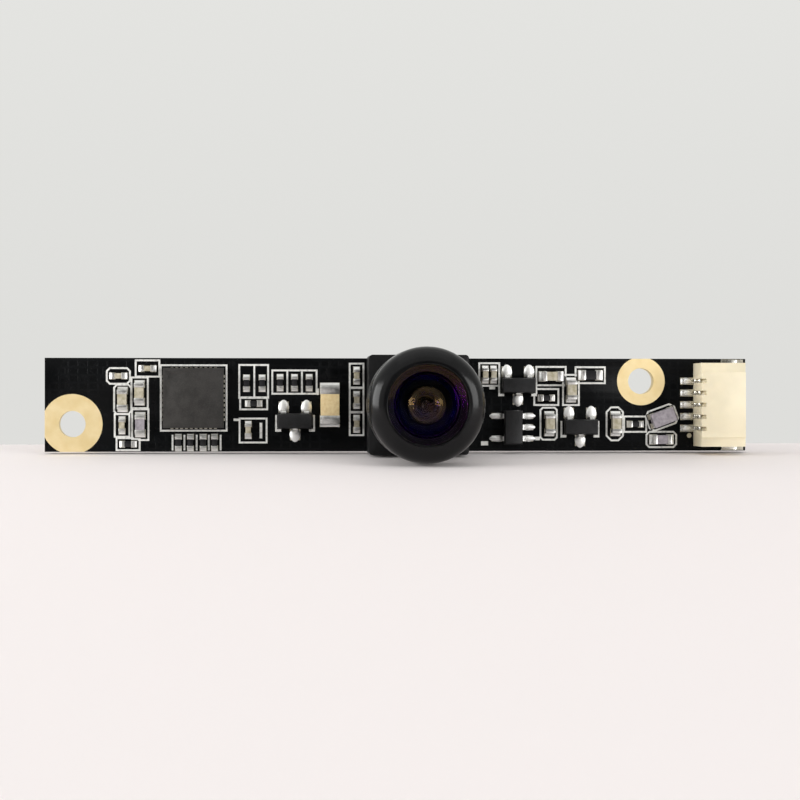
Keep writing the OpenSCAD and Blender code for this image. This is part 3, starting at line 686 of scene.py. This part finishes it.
class ModuleFinish(bpy.types.PropertyGroup):
    """Edge rounds and solder sizes of the camera module."""

    moulding_round: bpy.props.FloatProperty(
        name="Moulding round",
        description="Radius on the edges of the moulded parts",
        default=0.06 * MM,
        min=0.0,
        max=0.2 * MM,
        unit="LENGTH",
    )
    chip_round: bpy.props.FloatProperty(
        name="Chip round",
        description="Radius on the edges of the chip parts",
        default=0.02 * MM,
        min=0.0,
        max=0.05 * MM,
        unit="LENGTH",
    )
    tail_solder: bpy.props.FloatVectorProperty(
        name="Tail solder",
        description="Length, width and height of the solder on each connector tail",
        default=(0.97 * MM, 0.56 * MM, 0.28 * MM),
        min=0.1 * MM,
        max=1.5 * MM,
        unit="LENGTH",
    )
    lead_solder: bpy.props.FloatVectorProperty(
        name="Lead solder",
        description="Length, width and height of the solder on each lead of a three-lead package",
        default=(0.92 * MM, 0.84 * MM, 0.18 * MM),
        min=0.1 * MM,
        max=1.5 * MM,
        unit="LENGTH",
    )
    switch_solder: bpy.props.FloatVectorProperty(
        name="Switch solder",
        description="Length, width and height of the solder on each lead of the five-lead package",
        default=(1.0 * MM, 0.5 * MM, 0.17 * MM),
        min=0.1 * MM,
        max=1.5 * MM,
        unit="LENGTH",
    )
    lead_pitch: bpy.props.FloatProperty(
        name="Lead pitch",
        description="Distance between the leads of the small packages",
        default=0.95 * MM,
        min=0.5 * MM,
        max=1.5 * MM,
        unit="LENGTH",
    )
    mask_colour: bpy.props.FloatVectorProperty(
        name="Solder mask",
        description="Colour of the solder mask",
        default=linear("#0A0B0C")[:3],
        min=0.0,
        max=1.0,
        subtype="COLOR",
    )
    legend_colour: bpy.props.FloatVectorProperty(
        name="Legend",
        description="Colour of the printed legend",
        default=linear("#E6E6E1")[:3],
        min=0.0,
        max=1.0,
        subtype="COLOR",
    )
    housing_colour: bpy.props.FloatVectorProperty(
        name="Connector housing",
        description="Colour of the connector's nylon",
        default=linear("#EBE0C2")[:3],
        min=0.0,
        max=1.0,
        subtype="COLOR",
    )


class ModuleStudio(bpy.types.PropertyGroup):
    """Where the module is seen from, and the colours around it."""

    eye: bpy.props.FloatVectorProperty(
        name="Eye",
        description="Camera position in the module's own frame",
        default=(-0.0111, -0.1426, 0.0004),
        subtype="TRANSLATION",
        unit="LENGTH",
    )
    lens: bpy.props.FloatProperty(
        name="Focal length",
        description="Focal length on a 36 mm wide frame",
        default=76.0,
        min=10.0,
        max=300.0,
    )
    table_colour: bpy.props.FloatVectorProperty(
        name="Table",
        description="Colour of the sheet under the module",
        default=linear("#F6F0EE")[:3],
        min=0.0,
        max=1.0,
        subtype="COLOR",
    )
    wall_colour: bpy.props.FloatVectorProperty(
        name="Wall",
        description="Colour of the sheet and the room behind the module",
        default=linear("#E2E2DF")[:3],
        min=0.0,
        max=1.0,
        subtype="COLOR",
    )
    table_end: bpy.props.FloatProperty(
        name="Table end",
        description="How far behind the module the sheet changes its colour",
        default=9 * MM,
        unit="LENGTH",
    )
    curve_start: bpy.props.FloatProperty(
        name="Curve start",
        description="How far behind the module the sheet starts to curve up",
        default=120 * MM,
        unit="LENGTH",
    )
    curve_radius: bpy.props.FloatProperty(
        name="Curve radius",
        description="Radius of the sheet's curve",
        default=150 * MM,
        unit="LENGTH",
    )
    fill: bpy.props.FloatProperty(
        name="Fill light",
        description="Strength of the room's own light",
        default=0.58,
        min=0.0,
        max=2.0,
    )


# ---------------------------------------------------------------- operators


class MODULE_OT_board(bpy.types.Operator):
    """Finishes the board, its mounting pads, its printed legend, its lands and its solder"""

    bl_idname = "module.board"
    bl_label = "Finish the board"

    def execute(self, context):
        soften(["circuit_board"], 0.03 * MM)
        soften(["left_mounting_pad", "right_mounting_pad"], 0.0)
        soften(["printed_legend", "component_lands"], 0.0)
        soften(["solder_fillets", "sensor_balls"], 0.0)
        finish = context.scene.module_finish
        dress(["circuit_board"], solder_mask(finish.mask_colour))
        # immersion gold: pale, slightly cloudy, soft reflections
        gold = metal(
            "Immersion gold plating",
            "#F4DFAA",
            "#FBEABF",
            rough=0.6,
            spread=0.05,
            grain=0.9,
            depth=0.006,
        )
        dress(["left_mounting_pad", "right_mounting_pad"], gold)
        dress(["printed_legend"], legend_ink(finish.legend_colour))
        # levelled tin over copper: bright but uneven
        land = metal(
            "Tinned copper land",
            "#BDB8A6",
            "#DCD8CB",
            rough=0.36,
            spread=0.1,
            grain=0.25,
            depth=0.015,
        )
        dress(["component_lands"], land)
        # reflowed solder: near white, its mounds mirror the soft boxes as blurred spots
        solder = metal(
            "Reflowed solder",
            "#F4F4F2",
            "#FCFCFA",
            rough=0.52,
            spread=0.08,
            grain=0.3,
            depth=0.02,
        )
        dress(["solder_fillets", "sensor_balls"], solder)
        return {"FINISHED"}


class MODULE_OT_lens(bpy.types.Operator):
    """Finishes the lens holder, the barrel, the bezel, the glasses and the image sensor"""

    bl_idname = "module.lens"
    bl_label = "Finish the lens"

    def execute(self, context):
        rounding = context.scene.module_finish.moulding_round
        soften(["lens_holder"], rounding)
        soften(["lens_barrel", "front_bezel"], rounding * 0.7)
        soften(GLASSES + BLACKENED, 0.0, 25.0)
        soften(["infrared_filter", "sensor_die", "sensor_cover_glass"], 0.0)
        # glass-filled nylon: dull black, the glass shows as a dry grain
        nylon = moulded(
            "Glass-filled black nylon",
            linear("#0C0C0D"),
            linear("#121213"),
            rough=0.5,
            grain=0.09,
            depth=0.02,
            extra={"Specular IOR Level": 0.22},
        )
        dress(["lens_holder"], nylon)
        # moulded barrel: satin and even, the crests of its thread catch the light
        satin = moulded(
            "Satin black barrel plastic",
            linear("#0E0E0F"),
            linear("#141415"),
            rough=0.34,
            grain=0.07,
            depth=0.008,
            extra={"Specular IOR Level": 0.3},
        )
        dress(["lens_barrel"], satin)
        # bezel from a polished tool: deep black with clear highlights on its rounded edge
        polished = moulded(
            "Semi-gloss black bezel plastic",
            linear("#0B0B0C"),
            linear("#101011"),
            rough=0.17,
            grain=0.1,
            depth=0.004,
            extra={"Specular IOR Level": 0.2},
        )
        dress(["front_bezel"], polished)
        dress(BLACKENED, baffle_black_with_painted_ring())
        low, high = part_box("front_lens")
        rim = (high.x - low.x) / 2 / MM
        # the front glass is inked on the last hundredth of its radius, and the flat glasses
        # have no ink, so their limit is set past their corners
        for names, title, tint, inked, ior, wave in (
            (["front_lens"], "Coated front glass", "#F4F8F4", 0.99 * rim, 1.52, 575.0),
            (GLASSES[1:], "Coated inner glass", "#F4F4F4", rim, 1.6, 580.0),
            (["infrared_filter"], "Infrared cut glass", "#A8DCE6", 2 * rim, 1.52, 600.0),
            (["sensor_cover_glass"], "Sensor cover glass", "#FAFAFA", 2 * rim, 1.5, 550.0),
        ):
            dress(names, optical_glass(title, tint, inked, ior, wave))
        dress(["sensor_die"], silicon())
        return {"FINISHED"}


class MODULE_OT_connector(bpy.types.Operator):
    """Finishes the cable connector's housing, contacts and fixing lugs"""

    bl_idname = "module.connector"
    bl_label = "Finish the connector"

    def execute(self, context):
        soften(["connector_housing"], context.scene.module_finish.moulding_round * 0.6)
        soften(CONTACTS + LUGS, 0.015 * MM)
        dress(["connector_housing"], natural_nylon(context.scene.module_finish.housing_colour))
        # bright tin over bronze: clear streaks of light along the formed legs
        tin = metal(
            "Tinned phosphor bronze",
            "#CBC8BC",
            "#E2E0D8",
            rough=0.26,
            spread=0.06,
            grain=0.2,
            depth=0.008,
        )
        dress(CONTACTS + LUGS, tin)
        return {"FINISHED"}


class MODULE_OT_chips(bpy.types.Operator):
    """Finishes the processor, the small packages and every chip part"""

    bl_idname = "module.chips"
    bl_label = "Finish the chips"

    def execute(self, context):
        rounding = context.scene.module_finish.chip_round
        bodies = ["processor_body", "bulk_capacitor_body", "large_resistor_body", "choke_body"]
        bodies += [name + "_body" for name in PACKAGES]
        soften(bodies, rounding * 1.5)
        parts = ["small_resistor_bodies", "small_capacitor_bodies", "large_capacitor_bodies"]
        soften(parts + ["ferrite_bead_bodies"], rounding)
        soften(TINNED, rounding)
        soften(["processor_contacts"] + [name + "_leads" for name in PACKAGES], 0.0)
        large = moulding_compound("Processor moulding compound", "#2B2A28", "#393735")
        dress(["processor_body"], large)
        small = moulding_compound("Package moulding compound", "#151516", "#212122")
        dress([name + "_body" for name in PACKAGES], small)
        # matt tin: grey and soft, only its edges shine
        tin = metal(
            "Matt tin plating",
            "#C4C4C1",
            "#DCDCD9",
            rough=0.36,
            spread=0.08,
            grain=0.2,
            depth=0.012,
        )
        dress(TINNED + ["processor_contacts"] + [name + "_leads" for name in PACKAGES], tin)
        for names, title, low, high, rough in (
            (["bulk_capacitor_body"], "Tan barium titanate ceramic", "#EACF98", "#F6E0AC", 0.4),
            (
                ["large_capacitor_bodies", "small_capacitor_bodies"],
                "Grey-olive barium titanate ceramic",
                "#A39B80",
                "#C4BDAA",
                0.42,
            ),
            (
                ["ferrite_bead_bodies", "choke_body"],
                "Grey glazed ferrite",
                "#8C868C",
                "#A8A1A8",
                0.45,
            ),
        ):
            dress(names, ceramic(title, low, high, rough))
        # glass overcoat of resistors: black and glossy, slightly uneven
        overcoat = moulded(
            "Black glass overcoat",
            linear("#151517"),
            linear("#1F1F22"),
            rough=0.3,
            grain=0.1,
            depth=0.006,
        )
        dress(["small_resistor_bodies", "large_resistor_body"], overcoat)
        return {"FINISHED"}


class MODULE_OT_tail_solder(bpy.types.Operator):
    """Adds the solder joint on each of the connector's tails"""

    bl_idname = "module.tail_solder"
    bl_label = "Add the tail solder"

    def execute(self, context):
        size = context.scene.module_finish.tail_solder
        joints = []
        for name in CONTACTS:
            low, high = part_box(name)
            # the joint stands off the housing's rear wall and covers the end of the tail
            place = (low.x + 0.45 * size[0], JOINT_FOOT, (low.z + high.z) / 2)
            joints.append((Vector(place), math.radians(180)))
        piece = solder_row("tail_solder", joints, size)
        piece.data.materials.append(bpy.data.materials["Reflowed solder"])
        return {"FINISHED"}


class MODULE_OT_lead_solder(bpy.types.Operator):
    """Adds the solder joint on each lead of the small packages"""

    bl_idname = "module.lead_solder"
    bl_label = "Add the lead solder"

    def execute(self, context):
        finish = context.scene.module_finish
        pitch = finish.lead_pitch
        three, five = [], []
        for name in PACKAGES:
            low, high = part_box(name + "_leads")
            mid = (low + high) / 2
            if name in THREE_LEAD:
                # two leads above the body and one below, each joint pointing away from it
                for edge, turn, steps in ((high.z, 90, (-1, 1)), (low.z, -90, (0,))):
                    for step in steps:
                        place = Vector((mid.x + step * pitch, JOINT_FOOT, edge))
                        three.append((place, math.radians(turn)))
            else:
                for edge, turn, steps in ((high.x, 180, (-1, 0, 1)), (low.x, 0, (-1, 1))):
                    for step in steps:
                        place = Vector((edge, JOINT_FOOT, mid.z + step * pitch))
                        five.append((place, math.radians(turn)))
        for name, joints, size in (
            ("lead_solder", three, finish.lead_solder),
            ("switch_solder", five, finish.switch_solder),
        ):
            piece = solder_row(name, joints, size)
            piece.data.materials.append(bpy.data.materials["Reflowed solder"])
        return {"FINISHED"}


class MODULE_OT_studio(bpy.types.Operator):
    """Adds the table, the wall, the lamps and the camera"""

    bl_idname = "module.studio"
    bl_label = "Set up the studio"

    def execute(self, context):
        studio = context.scene.module_studio
        # the module leans on the rear edges of its holder and of the lens's flange
        heel = Vector((0, FACE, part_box("lens_holder")[0].z))
        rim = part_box("front_bezel")[0].z
        # only the flange reaches as low as the bezel's rim
        flange = [v.co for v in frame["nodes"]["lens_barrel"].data.vertices if v.co.z < 0.98 * rim]
        lean = math.atan2(heel.z - rim, FACE - max(co.y for co in flange))
        self.sweep(studio, heel, lean)
        self.world(studio)
        self.lamps()
        self.card()
        self.camera(studio)
        context.scene.view_settings.view_transform = "Standard"
        return {"FINISHED"}

    def sweep(self, studio, heel, lean):
        """One sheet, level under the module and curved up behind it, in two colours."""
        half_width, level_length, wall_height, blend = 1.0, 1.0, 0.6, 0.2 * MM
        deselect()
        bpy.ops.mesh.primitive_plane_add(size=2.0)
        sheet = bpy.context.object
        sheet.name = "Table and wall"
        sheet.scale = (half_width, level_length / 2, 1.0)
        sheet.location = (0, studio.curve_start - level_length / 2, 0)
        settle(sheet)
        bpy.ops.object.mode_set(mode="EDIT")
        bpy.ops.mesh.select_mode(type="EDGE")
        bpy.ops.mesh.select_all(action="DESELECT")
        bpy.ops.object.mode_set(mode="OBJECT")
        for edge in sheet.data.edges:
            ends = [sheet.data.vertices[i].co.y for i in edge.vertices]
            edge.select = min(ends) > studio.curve_start - MM
        bpy.ops.object.mode_set(mode="EDIT")
        bpy.ops.mesh.spin(
            steps=24,
            angle=math.radians(-90),
            center=(0, studio.curve_start, studio.curve_radius),
            axis=(1, 0, 0),
        )
        bpy.ops.mesh.extrude_region_move(TRANSFORM_OT_translate={"value": (0, 0, wall_height)})
        bpy.ops.mesh.select_all(action="SELECT")
        bpy.ops.mesh.remove_doubles(threshold=0.01 * MM)
        bpy.ops.mesh.normals_make_consistent(inside=False)
        bpy.ops.object.mode_set(mode="OBJECT")
        bpy.ops.object.shade_smooth()
        sheet.data.transform(Matrix.Translation(heel) @ Matrix.Rotation(lean, 4, "X"))
        material, tree, shader, mm = start("Matt paper, two tones")
        output = next(n for n in tree.nodes if n.bl_idname == "ShaderNodeOutputMaterial")
        spot = add(tree, "ShaderNodeSeparateXYZ", {"Vector": mm})
        behind = add(
            tree,
            "ShaderNodeMapRange",
            {
                "Value": (spot, "Y"),
                "From Min": (studio.table_end - blend) / MM,
                "From Max": (studio.table_end + blend) / MM,
            },
        )
        seen = seen_rays(tree)
        glowing = add(
            tree, "ShaderNodeMath", {0: seen, 1: (behind, "Result")}, operation="MULTIPLY"
        )
        # painted light: the glowing wall gets a little lighter with height
        height = add(
            tree,
            "ShaderNodeMapRange",
            {
                "Value": (spot, "Z"),
                "From Min": 5.0,
                "From Max": 110.0,
                "To Min": 0.96,
                "To Max": 1.03,
            },
        )
        glow = add(
            tree,
            "ShaderNodeEmission",
            {"Color": (*studio.wall_colour, 1.0), "Strength": (height, "Result")},
        )
        both = add(
            tree,
            "ShaderNodeMixShader",
            {0: (glowing, "Value"), 1: (shader, "BSDF"), 2: (glow, "Emission")},
        )
        feed(tree, output, {"Surface": (both, "Shader")})
        # paper fibre is far too fine to show, so its tooth is drawn about 1 mm wide
        tooth = add(tree, "ShaderNodeTexNoise", {"Vector": mm, "Scale": 1.0, "Detail": 4.0})
        bump = add(
            tree,
            "ShaderNodeBump",
            {"Height": (tooth, "Fac"), "Strength": 0.1, "Distance": 0.03 * MM},
        )
        feed(
            tree,
            shader,
            {
                "Base Color": (*studio.table_colour, 1.0),
                "Roughness": 0.7,
                "Normal": (bump, "Normal"),
            },
        )
        sheet.data.materials.append(material)

    def world(self, studio):
        """A plain room: its pale walls are what is seen past the sheet and in metal and glass."""
        world = bpy.data.worlds.new("Soft room")
        world.use_nodes = True
        tree = world.node_tree
        tree.nodes.clear()
        seen = seen_rays(tree)
        pale = add(tree, "ShaderNodeBackground", {"Color": (*studio.wall_colour, 1.0)})
        fill = add(
            tree,
            "ShaderNodeBackground",
            {"Color": linear("#F4F5F6"), "Strength": studio.fill},
        )
        both = add(
            tree,
            "ShaderNodeMixShader",
            {0: seen, 1: (fill, "Background"), 2: (pale, "Background")},
        )
        add(tree, "ShaderNodeOutputWorld", {"Surface": (both, "Shader")})
        bpy.context.scene.world = world

    def lamps(self):
        """A broad soft box level with the module on its left, a smaller one in front of it on its
        right, and a broad one overhead."""
        for name, place, size, power in (
            ("Left soft box", (-0.30, -0.05, 0.05), (0.26, 0.18), 1.1),
            ("Right soft box", (0.236, -0.185, 0.055), (0.2, 0.13), 0.48),
            ("Overhead", (0.0, -0.08, 0.42), (0.5, 0.4), 0.2),
        ):
            data = bpy.data.lights.new(name, "AREA")
            data.shape = "RECTANGLE"
            data.size, data.size_y = size
            data.energy = power
            lamp = bpy.data.objects.new(name, data)
            bpy.context.collection.objects.link(lamp)
            lamp.location = place
            lamp.rotation_euler = (-Vector(place)).to_track_quat("-Z", "Y").to_euler()
            lamp.visible_camera = False

    def card(self):
        """A black card behind the camera, which only keeps the room's glare off the board."""
        place, width, height = (0.03, -0.40, 0.06), 0.50, 0.30
        deselect()
        bpy.ops.mesh.primitive_plane_add(size=1.0)
        card = bpy.context.object
        card.name = "Black card"
        card.data.transform(
            Matrix.Translation(place)
            @ Matrix.Rotation(math.radians(90), 4, "X")
            @ Matrix.Diagonal((width, height, 1.0, 1.0))
        )
        material, tree, shader, mm = start("Black felt")
        pile = add(tree, "ShaderNodeTexNoise", {"Vector": mm, "Scale": 0.5, "Detail": 3.0})
        tone = add(
            tree,
            "ShaderNodeValToRGB",
            {"Fac": (pile, "Fac")},
            stops=[(0.3, linear("#0B0B0B")), (0.7, linear("#141414"))],
        )
        feed(tree, shader, {"Base Color": (tone, "Color"), "Roughness": 0.9})
        card.data.materials.append(material)
        card.visible_camera = False
        card.visible_diffuse = False
        card.visible_shadow = False

    def camera(self, studio):
        data = bpy.data.cameras.new("Camera")
        data.lens = studio.lens
        data.sensor_width = 36.0
        data.clip_start, data.clip_end = 0.001, 10.0
        camera = bpy.data.objects.new("Camera", data)
        bpy.context.collection.objects.link(camera)
        camera.location = studio.eye
        aim = Vector(((BOARD_LOW.x + BOARD_HIGH.x) / 2, FACE, studio.eye[2]))
        camera.rotation_euler = (aim - camera.location).to_track_quat("-Z", "Y").to_euler()
        bpy.context.scene.camera = camera


class MODULE_PT_panel(bpy.types.Panel):
    """Lists the module's finishes in the sidebar"""

    bl_idname = "MODULE_PT_panel"
    bl_label = "Camera module"
    bl_space_type = "VIEW_3D"
    bl_region_type = "UI"
    bl_category = "Module"

    def draw(self, context):
        layout = self.layout
        for group, operators in (
            (context.scene.module_finish, FINISHES),
            (context.scene.module_studio, (MODULE_OT_studio,)),
        ):
            box = layout.box()
            for prop in group.bl_rna.properties:
                if prop.identifier not in ("rna_type", "name"):
                    box.prop(group, prop.identifier)
            for operator in operators:
                box.operator(operator.bl_idname)


FINISHES = (
    MODULE_OT_board,
    MODULE_OT_lens,
    MODULE_OT_connector,
    MODULE_OT_chips,
    MODULE_OT_tail_solder,
    MODULE_OT_lead_solder,
)
CLASSES = (ModuleFinish, ModuleStudio) + FINISHES + (MODULE_OT_studio, MODULE_PT_panel)


def register():
    for cls in CLASSES:
        bpy.utils.register_class(cls)
    bpy.types.Scene.module_finish = bpy.props.PointerProperty(type=ModuleFinish)
    bpy.types.Scene.module_studio = bpy.props.PointerProperty(type=ModuleStudio)


def unregister():
    del bpy.types.Scene.module_studio
    del bpy.types.Scene.module_finish
    for cls in reversed(CLASSES):
        bpy.utils.unregister_class(cls)


def main():
    register()
    bpy.ops.module.board()
    bpy.ops.module.lens()
    bpy.ops.module.connector()
    bpy.ops.module.chips()
    bpy.ops.module.tail_solder()
    bpy.ops.module.lead_solder()
    bpy.ops.module.studio()


if __name__ == "__main__":
    main()
